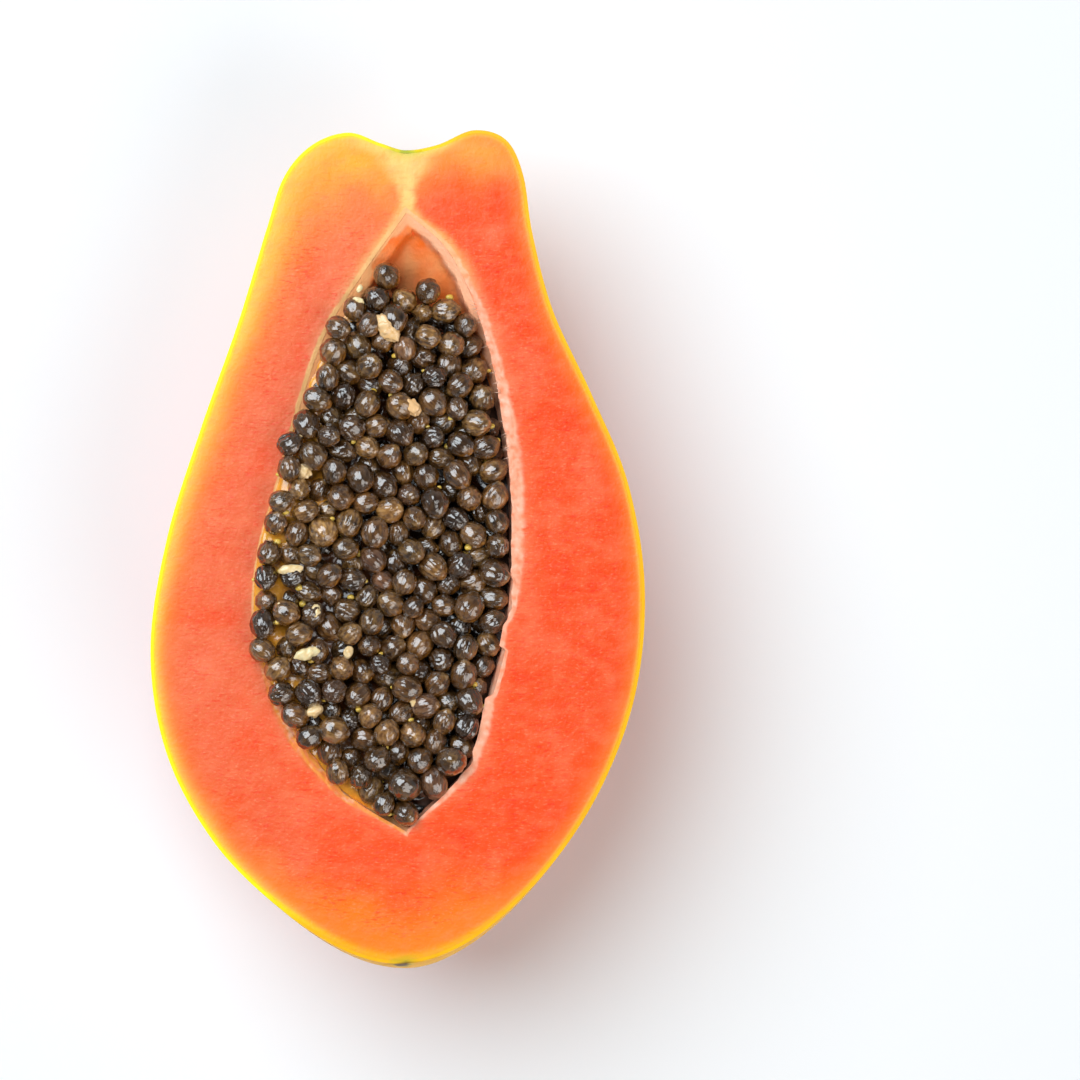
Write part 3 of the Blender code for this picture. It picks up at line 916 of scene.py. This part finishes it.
def random_spots(draw, taken, spacing):
    """Random spots over the mouth, none too close to another or to those taken."""
    low, high = left_rim.min(axis=0), right_rim.max(axis=0)
    laid = list(taken)
    for _ in range(SEED_DRAWS):
        x, y = draw.uniform(low[0], high[0]), draw.uniform(low[1], high[1])
        left, right = rim_at(y)
        inside = left + SEED_EDGE < x < right - SEED_EDGE
        below_top = y < (SEEDS_TOP_LEFT if x < AXIS_X else SEEDS_TOP_RIGHT)
        if inside and below_top and all(math.dist((x, y), spot) > spacing for spot in laid):
            laid.append((x, y))
    return laid[len(taken) :]


def strewn(draw, level, taken):
    """A level of seeds as rows of X, Y, Z, radius and the level's height."""
    height, spacing = level
    rows = []
    for x, y in random_spots(draw, taken, spacing):
        z = bed_height(x, y) + height + draw.gauss(0, SEED_UNEVENNESS)
        radius = draw.gauss(SEED_RADIUS, SEED_RADIUS_SPREAD)
        rows.append((x, y, z, np.clip(radius, *SEED_RADIUS_RANGE), height))
    return rows


def scatter_seeds():
    """First places for the seeds, from the highest level down."""
    draw = random.Random(RANDOM_SEED)
    seeds = [(x, y, bed_height(x, y), radius, 0.0) for x, y, radius in END_SEEDS]
    for level in SEED_LEVELS:
        seeds += strewn(draw, level, [(seed[0], seed[1]) for seed in seeds])
    return np.array(seeds + strewn(draw, UNDER_LEVEL, []))


def wall_tree():
    """The points that seeds keep clear of: the wall and the cut face at its rim."""
    points = []
    for share in even_shares(cavity_right, cavity_left, WALL_STATIONS):
        points += list(cavity_point(share, np.linspace(0, math.pi, WALL_SPOTS)))
        for angle, out in ((0.0, 1), (math.pi, -1)):
            rim = cavity_point(share, angle)
            points += [rim + (out * step, 0, 0) for step in RIM_OFFSETS]
    return curve_tree(points)


def settle_seeds():
    """The seeds' middles, radii and levels, pushed apart and off the wall."""
    seeds = scatter_seeds()
    places, radii = seeds[:, :3].copy(), seeds[:, 3]
    wanted = places[:, 2].copy()
    reach = radii[:, None] + radii[None]
    tree = wall_tree()
    for _ in range(SETTLE_STEPS):
        places[:, 2] += (wanted - places[:, 2]) * SETTLE_PULL
        gap = places[:, None] - places[None]
        distance = np.linalg.norm(gap, axis=2) + np.eye(len(places)) * 1000
        push = np.maximum(reach - distance, 0) * SETTLE_PUSH / distance
        places += (gap * push[..., None]).sum(axis=1)
        most = bed_height(places[:, 0], places[:, 1]) + SEED_MOST_PROUD
        for place, radius, top in zip(places, radii, most):
            place[2] = min(place[2], top)
            wall, _, distance = tree.find(place)
            need = radius * SEED_STRETCH + WALL_GAP
            if distance < need:
                place += (place - np.array(wall)) * (need / max(distance, 0.01) - 1)
    return places, radii, seeds[:, 4]


def cube_sphere(steps):
    """Points on a ball and its quads, evenly spread and with no poles."""
    spread = np.tan(np.linspace(-math.pi / 4, math.pi / 4, steps + 1))
    u, v = np.meshgrid(spread, spread)
    grids = []
    for axis in range(3):
        for side in (1, -1):
            grids.append(np.roll(np.stack([np.full_like(u, side), u, v], axis=-1), axis, axis=-1))
    points = np.array(grids).reshape(-1, 3)
    faces = copies(grid_faces(steps + 1, steps + 1), (steps + 1) ** 2, 6)
    return points / np.linalg.norm(points, axis=1, keepdims=True), faces


def seed_shapes(seeds, steps):
    """Dented, wrinkled eggs: points, rows of tint and own place, quads."""
    ball, quads = cube_sphere(steps)
    points, tints = [], []
    for place, radius, turn, pick, dry in seeds:
        rotate = np.array(Euler(turn).to_matrix()).T
        spot = ball * SEED_RADIUS + pick * 900
        dents = ripple(spot, 2.6, 51) * 0.2 + ripple(spot, 1.2, 52) * 0.14
        round_it = np.arctan2(ball[:, 1], ball[:, 0])
        folds = 7 + int(pick * 50) % 5
        wrinkles = np.cos(round_it * folds + 2.6 * ripple(spot, 2.8, 53)) * (1 - ball[:, 2] ** 4)
        creases = np.abs(ripple(spot, 1.3, 54))
        lift = dents + wrinkles * (0.06 + 0.1 * dry) - (0.06 + 0.3 * dry) * (1 - creases) ** 3
        lift = lift + 0.3 * ramp(0.9, 1.0, ball[:, 2])
        shape = ball * ((radius, radius, radius * SEED_STRETCH) + lift[:, None])
        points.append(shape @ rotate + place)
        colours = seed_tints(ball, spot, wrinkles, pick, dry, ball @ rotate)
        # Painted shade: seeds that lie deeper under the bed are darkened
        colours = colours * (1 - PAINTED_DEPTH_SHADE * ramp(0.8, 6.0, bed_height(*place[:2]) - place[2]))
        tints.append(np.hstack([colours, spot]))
    return np.vstack(points), np.vstack(tints), copies(quads, len(ball), len(seeds))


SEED_DARK = srgb(38, 23, 14)
SEED_BROWN = srgb(118, 72, 34)
SEED_OLIVE = srgb(188, 142, 80)
SEED_RED = srgb(118, 80, 60)
# Painted light: the amber glow, and the direction away from the key lamp that it is painted towards
PAINTED_GLOW_AMBER = srgb(214, 138, 48)
PAINTED_GLOW_DIRECTION = np.array([0.66, -0.6, -0.45])
RED_SEEDS = 0.96
# How much painted shade darkens the seeds that lie deepest under the bed
PAINTED_DEPTH_SHADE = 0.8
SAC_SHADE = (0.42, 0.36, 0.3)
SAC_COAT_IOR = 1.85
# Kinds of seed and how finely each is meshed, the ones under the others last
SEED_KINDS = {"seeds_dark": 14, "seeds_brown": 14, "seeds_olive": 14, "seeds_under": 6}


def seed_tints(ball, spot, wrinkles, pick, dry, outward):
    """A dark seed in its sac with an olive net, painted shade on its lower side and a painted amber
    glow on the side away from the light.
    """
    cloud = ripples(spot, 2.0, 0.9, 55)
    net = 1 - ramp(0.05, 0.4, np.abs(ripple(spot, 1.0, 57)))
    olive = (0.22 + 0.7 * pick**2.5) * (0.45 + 0.35 * cloud + 0.25 * wrinkles + 0.4 * net)
    colour = painted(SEED_DARK, (SEED_BROWN, 0.55 + 0.5 * cloud), (SEED_OLIVE, olive))
    if (pick * 17) % 1 > RED_SEEDS:
        colour = blend(colour, SEED_RED, 0.65)
    colour = blend(colour, SEED_OLIVE, 0.6 * ramp(0.88, 0.99, ball[:, 2]))
    # Each seed gets its own random brightness, and the lower side of each seed is darkened as painted
    # shade
    colour = colour * (0.45 + 1.0 * ((pick * 31) % 1)) * (0.3 + 0.7 * ramp(-0.2, 0.85, outward[:, 2:]))
    # Painted light: an amber glow where light would shine through the sac, on the side away from the
    # key lamp
    painted_glow = ramp(0.0, 0.9, outward @ PAINTED_GLOW_DIRECTION) * (0.75 + 0.4 * cloud)
    return painted(colour, (PAINTED_GLOW_AMBER, painted_glow * 0.85), (SEED_DARK, dry * 0.8))


def seed_material():
    """A wet sac over a dark seed, with the coat bumped like the sac."""
    cloud = ((0.7, (1, 1, 0.35), 3), 0.35, 0.65)
    folds = ((0.75, (1, 1, 0.4), 2, 5), 0.3, 0.75)
    material, wet = clouded(("wet_seed", 0.22, 1.0, 0.08, 1.55), cloud, 0.9, SAC_SHADE, folds)
    tree = material.node_tree
    fill(tree, tree.nodes["Principled BSDF"], {"Coat IOR": SAC_COAT_IOR, "Coat Normal": wet})
    return material


def make_seeds():
    """The seeds, in kinds by how olive they are, and those under them."""
    places, radii, levels = settle_seeds()
    turn_draw, look_draw = random.Random(RANDOM_SEED + 1), random.Random(RANDOM_SEED + 2)
    kinds = [[] for _ in SEED_KINDS]
    for place, radius, level in zip(places, radii, levels):
        turn = [turn_draw.uniform(0, math.pi) for _ in range(3)]
        pick, dry = look_draw.random(), look_draw.random() ** 4
        kind = -1 if level == UNDER_LEVEL[0] else int(pick * 3)
        kinds[kind].append((place, radius, turn, pick, dry))
    for (name, steps), seeds in zip(SEED_KINDS.items(), kinds):
        points, rows, faces = seed_shapes(seeds, steps)
        mesh = closed_mesh(name, [(points, faces)])
        rows = nearest_rows(mesh_points(mesh), points, rows)
        add_piece(mesh, rows[:, :3], rows[:, 3:], seed_material(), SEEDS)
    return places, radii, levels


def nearest_rows(wanted, points, rows):
    """The row of the nearest point, for each wanted point."""
    tree = curve_tree(points)
    return rows[[tree.find(point)[1] for point in wanted]]


# Gel under and between the seeds
GEL_ROWS = 190
GEL_COLUMNS = 92
GEL_SHARES = (0.16, 0.985)
GEL_AMBER = srgb(255, 178, 58)
GEL_BROWN = srgb(88, 46, 16)
# Near-black of the gel at the middle and right: painted shade for the deep gaps between seeds
GEL_PAINTED_SHADE = srgb(15, 9, 7)
GEL_SHADE = (0.7, 0.45, 0.25)
GEL_THICKNESS = 0.9


def gel_height(points, seeds):
    """The gel's surface, drawn up to the seeds that it wets."""
    places, radii, _ = seeds
    x, y = points[:, 0], points[:, 1]
    across = np.clip(mouth_share(x, y), 0, 1)
    past = np.maximum(y - 62.0 + 0.6 * x, 0)
    base = bed_height(x, y) - 2.4 - 2.2 * ramp(0.05, 0.4, across) - 0.9 * past
    base = base - 1.6 * ramp(16, 34, y) + 0.4 * ripple(points * (1, 1, 0), 4, 61)
    tree = curve_tree(places)
    rise = np.zeros(len(points))
    for index, (spot, height) in enumerate(zip(points, base)):
        for _, seed, distance in tree.find_n((spot[0], spot[1], height), 5):
            rise[index] += 1.2 * math.exp(-max(distance - radii[seed], 0) / 0.7)
    return base + np.minimum(rise, 2.4)


def make_gel(seeds):
    """The thin juice that wets the seeds, from wall to wall."""
    shares = np.linspace(*GEL_SHARES, GEL_ROWS)[:, None]
    reach = np.linspace(-1, 1, GEL_COLUMNS)[None, :]
    power = np.where(reach > 0, WALL_POWER_RIGHT, WALL_POWER_LEFT)
    angle = np.arccos(np.copysign(np.abs(reach) ** (power / 2), reach))
    wall = cavity_point(shares, angle, -0.2)
    flat = wall.reshape(-1, 3)
    height = gel_height(flat, seeds)
    edge = np.minimum(np.arange(GEL_COLUMNS), np.arange(GEL_COLUMNS)[::-1])
    wide = (wall[:, -1, :1] - wall[:, :1, 0]) / GEL_COLUMNS
    top, bottom = wall.copy(), wall.copy()
    rise = -0.4 + 1.4 * edge[None, :] * np.abs(wide)
    top[..., 2] = np.minimum(height.reshape(wall.shape[:2]), rise)
    bottom[..., 2] = np.minimum(wall[..., 2], top[..., 2]) - GEL_THICKNESS
    both = np.stack([top, bottom])
    grids = [top, bottom, both[:, 0], both[:, -1], both[:, :, 0], both[:, :, -1]]
    mesh = closed_mesh("seed_gel", [sheet(grid) for grid in grids])
    points = mesh_points(mesh)
    patch = ripple(points, 6, 62)
    across = mouth_share(points[:, 0], points[:, 1])
    # Amber and brown juice towards the left; the near-black towards the right is painted shade of the
    # gaps between seeds
    colour = painted(
        GEL_PAINTED_SHADE,
        (GEL_BROWN, 1 - ramp(0.25, 0.7, across + 0.15 * patch)),
        (GEL_AMBER, 1 - ramp(0.04, 0.24, across + 0.1 * patch)),
        (GEL_BROWN, 0.7 * ramp(0.45, 0.85, patch)),
    )
    add_piece(mesh, colour, points, gel_material(), SEEDS)


def gel_material():
    """Amber juice, cloudy in places."""
    cloud, relief = ((1.2, EVEN, 3), 0.3, 0.7), ((0.9, EVEN), 0.2, 0.6)
    return clouded(("amber_gel", 0.2, 1.0, 0.04, 1.5), cloud, 0.45, GEL_SHADE, relief)[0]


# Lumps of pulp: X, Y, length, width, turn in degrees, rise over the bed and how white they are
LUMPS = [
    (-2.6, 55.5, 8.0, 4.6, -50, 1.9, 0.2), (-20.5, -15.5, 4.6, 2.8, 85, 2.4, 0.8),
    (-22.5, -25.5, 6.2, 3.0, 15, 2.6, 1.0), (-26.5, -4.6, 6.0, 2.6, 5, 1.6, 0.7),
    (-28.0, -14.6, 5.0, 3.0, -35, 1.4, 0.7), (3.5, 36.0, 5.6, 3.6, -45, 1.2, 0.0),
    (-9.6, 65.4, 2.2, 1.5, 60, 1.2, 1.0), (-9.9, 62.6, 3.0, 1.5, -20, 1.0, 1.0),
    (-23.4, 30.2, 3.2, 2.4, 80, 0.6, 0.9), (-24.0, 20.0, 5.4, 3.6, -20, 0.0, 0.5),
    (-29.6, 6.8, 5.0, 3.2, 50, 0.2, 0.6), (-20.7, -39.8, 4.2, 3.2, 30, 0.2, 0.5),
    (-12.2, -25.2, 3.2, 2.4, 70, 1.4, 0.6), (4.4, -37.8, 3.6, 2.6, -30, 1.0, 0.6),
]
LUMP_DEPTH = 2.4
LUMP_LIFT = 0.9
LUMP_STEPS = 16
PULP_WHITE = srgb(252, 238, 186)
PULP_PEACH = srgb(248, 198, 140)
PULP_YELLOW = srgb(234, 196, 84)
HOLLOW_SHADE = (0.96, 0.8, 0.5)
NUB_COUNT = 64
NUB_RADIUS = (0.55, 1.15)
NUB_STEPS = 4
FIBRE_COUNT = 34
FIBRE_LENGTH = (0.9, 2.4)
FIBRE_WIDTH = 0.13
FIBRE_Y = (22.0, 62.0)


def lump(ball, x, y, length, width, turn, rise, white):
    """A knobbly bit of pulp and its colours."""
    spot = ball * (length, width, width) + (x, y, 0)
    knobs = 1 + 0.2 * ripple(spot, 2.0, 71)[:, None] + 0.05 * ripple(spot, 0.9, 72)[:, None]
    shape = ball * knobs * (length / 2, width / 2, width / LUMP_DEPTH)
    rotate = np.array(Euler((0.2, 0.1, math.radians(turn))).to_matrix()).T
    warm = 0.5 + 0.5 * ripple(spot, 1.5, 73)
    colour = blend(PULP_PEACH, PULP_WHITE, white * (0.45 + 0.55 * (1 - warm)))
    return shape @ rotate + (x, y, bed_height(x, y) + rise + LUMP_LIFT), colour


def make_pulp(seeds):
    """Pale lumps of pulp and the yellow nubs that tie seeds to their strings."""
    ball, quads = cube_sphere(LUMP_STEPS)
    shapes = [lump(ball, *row) for row in LUMPS]
    faces = copies(quads, len(ball), len(LUMPS))
    places, radii, levels = seeds
    draw = random.Random(RANDOM_SEED + 3)
    small, small_quads = cube_sphere(NUB_STEPS)
    small_faces = copies(small_quads, len(small), NUB_COUNT) + len(ball) * len(LUMPS)
    top = np.flatnonzero(levels > UNDER_LEVEL[0])
    for _ in range(NUB_COUNT):
        seed = draw.choice(top)
        angle, size = draw.uniform(0, 2 * math.pi), draw.uniform(*NUB_RADIUS)
        reach = radii[seed] + size * 0.3
        offset = np.array([math.cos(angle), math.sin(angle), -0.1]) * reach
        knobs = 1 + 0.2 * ripple(small + angle, 0.8, 74)[:, None]
        spot = small * (size, size * 0.8, size * 0.9) * knobs
        shapes.append((spot + places[seed] + offset, np.tile(PULP_YELLOW, (len(small), 1))))
    points = np.vstack([shape for shape, _ in shapes])
    tints = np.vstack([colour for _, colour in shapes])
    mesh = closed_mesh("seed_pulp", [(points, np.vstack([faces, small_faces]))])
    places = mesh_points(mesh)
    add_piece(mesh, nearest_rows(places, points, tints), places, pulp_material(), SEEDS)


def make_fibres():
    """Fine white hairs that stand out of the right rim over the seeds."""
    draw = random.Random(RANDOM_SEED + 4)
    side, top = np.array([0, FIBRE_WIDTH, 0]), np.array([0, 0, FIBRE_WIDTH * 1.5])
    points = []
    for _ in range(FIBRE_COUNT):
        y = draw.uniform(*FIBRE_Y)
        root = np.array([rim_at(y)[1] + 0.5, y, -0.5])
        length, lean = draw.uniform(*FIBRE_LENGTH), draw.uniform(-0.7, 0.7)
        tip = root + np.array([-math.cos(lean), math.sin(lean), draw.uniform(-0.1, 0.35)]) * length
        points += [root - side, root + side, root + top, tip]
    faces = copies(np.array([(0, 1, 2), (0, 3, 1), (1, 3, 2), (2, 3, 0)]), 4, FIBRE_COUNT)
    mesh = closed_mesh("rim_fibres", [(np.array(points), faces)])
    add_piece(mesh, LINING_LIGHT, mesh_points(mesh), pulp_material(), FLESH)


def pulp_material():
    """Wet pale pulp with warmer hollows."""
    hollows, relief = ((1.1, EVEN, 3), 0.45, 0.65), ((0.6, EVEN), 0.15, 0.6)
    return clouded(("wet_pulp", 0.26, 0.8, 0.08), hollows, 0.5, HOLLOW_SHADE, relief)[0]


# Lamps: name, place, size, power, colour
LAMPS = [
    ("key", (-0.42, 0.42, 0.98), 1.15, 14.6, (0.86, 0.94, 1.0)),
    ("fill", (0.60, -0.62, 0.80), 1.0, 5.8, (1.0, 0.98, 0.95)),
]
WORLD_HORIZON = 0.30
WORLD_ZENITH = 0.07
FLOOR_HALF = 3
FLOOR_PALE = 0.97
FLOOR_ROUGHNESS = 0.9


def make_stage():
    """A pale floor, a white surrounding and a lamp at each side."""
    mesh = bpy.data.meshes.new("floor")
    corners = [(x * FLOOR_HALF, y * FLOOR_HALF, 0) for x, y in ((-1, -1), (1, -1), (1, 1), (-1, 1))]
    mesh.from_pydata(corners, [], [range(4)])
    paper = bpy.data.materials.new("pale_floor")
    paper.use_nodes = True
    tree = paper.node_tree
    pale = (FLOOR_PALE, FLOOR_PALE, FLOOR_PALE, 1)
    fill(tree, tree.nodes["Principled BSDF"], {"Base Color": pale, "Roughness": FLOOR_ROUGHNESS})
    mesh.materials.append(paper)
    floor = put("floor", mesh)
    make_world()
    for lamp in LAMPS:
        add_light(*lamp)


def make_world():
    """White light from all round, weaker from overhead."""
    world = bpy.data.worlds.new("studio")
    world.use_nodes = True
    tree = world.node_tree
    direction = add_node(tree, "TexCoord", {}).outputs["Generated"]
    height = add_node(tree, "SeparateXYZ", {0: direction}).outputs["Z"]
    strength = ranged(tree, height, 0.0, 0.9, WORLD_HORIZON, WORLD_ZENITH)
    fill(tree, tree.nodes["Background"], {"Color": (1, 1, 1, 1), "Strength": strength})
    bpy.context.scene.world = world


def add_light(name, place, size, power, colour):
    """A round lamp that points at the cut face."""
    lamp = bpy.data.lights.new(name, "AREA")
    lamp.shape = "DISK"
    lamp.size, lamp.energy, lamp.color = size, power, colour
    made = put(name, lamp)
    made.location = place
    target = Vector((0, 0, CUT_HEIGHT * MM))
    made.rotation_euler = (target - made.location).to_track_quat("-Z", "Y").to_euler()


def make_camera():
    """Straight over the middle of the photograph, with the stem end up."""
    camera = bpy.data.cameras.new("camera")
    camera.sensor_width = SENSOR_MM
    camera.lens = CAMERA_DISTANCE * SENSOR_MM / (PHOTO_SIZE * PIXEL_MM)
    x = (PHOTO_SIZE / 2 - PHOTO_ORIGIN[0]) * PIXEL_MM
    y = (PHOTO_ORIGIN[1] - PHOTO_SIZE / 2) * PIXEL_MM
    made = put("camera", camera)
    made.location = (x * MM, y * MM, (CUT_HEIGHT + CAMERA_DISTANCE) * MM)
    bpy.context.scene.camera = made


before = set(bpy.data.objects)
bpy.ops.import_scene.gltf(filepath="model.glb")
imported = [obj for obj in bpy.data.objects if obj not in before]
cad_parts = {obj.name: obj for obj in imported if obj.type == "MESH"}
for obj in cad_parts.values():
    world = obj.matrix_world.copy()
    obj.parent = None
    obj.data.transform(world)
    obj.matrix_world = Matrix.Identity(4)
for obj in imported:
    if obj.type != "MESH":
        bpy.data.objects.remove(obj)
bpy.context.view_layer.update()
bpy.context.scene.view_settings.view_transform = "Standard"
make_stage()
make_camera()
make_skin()
make_flesh()
seeds = make_seeds()
make_gel(seeds)
make_pulp(seeds)
make_fibres()
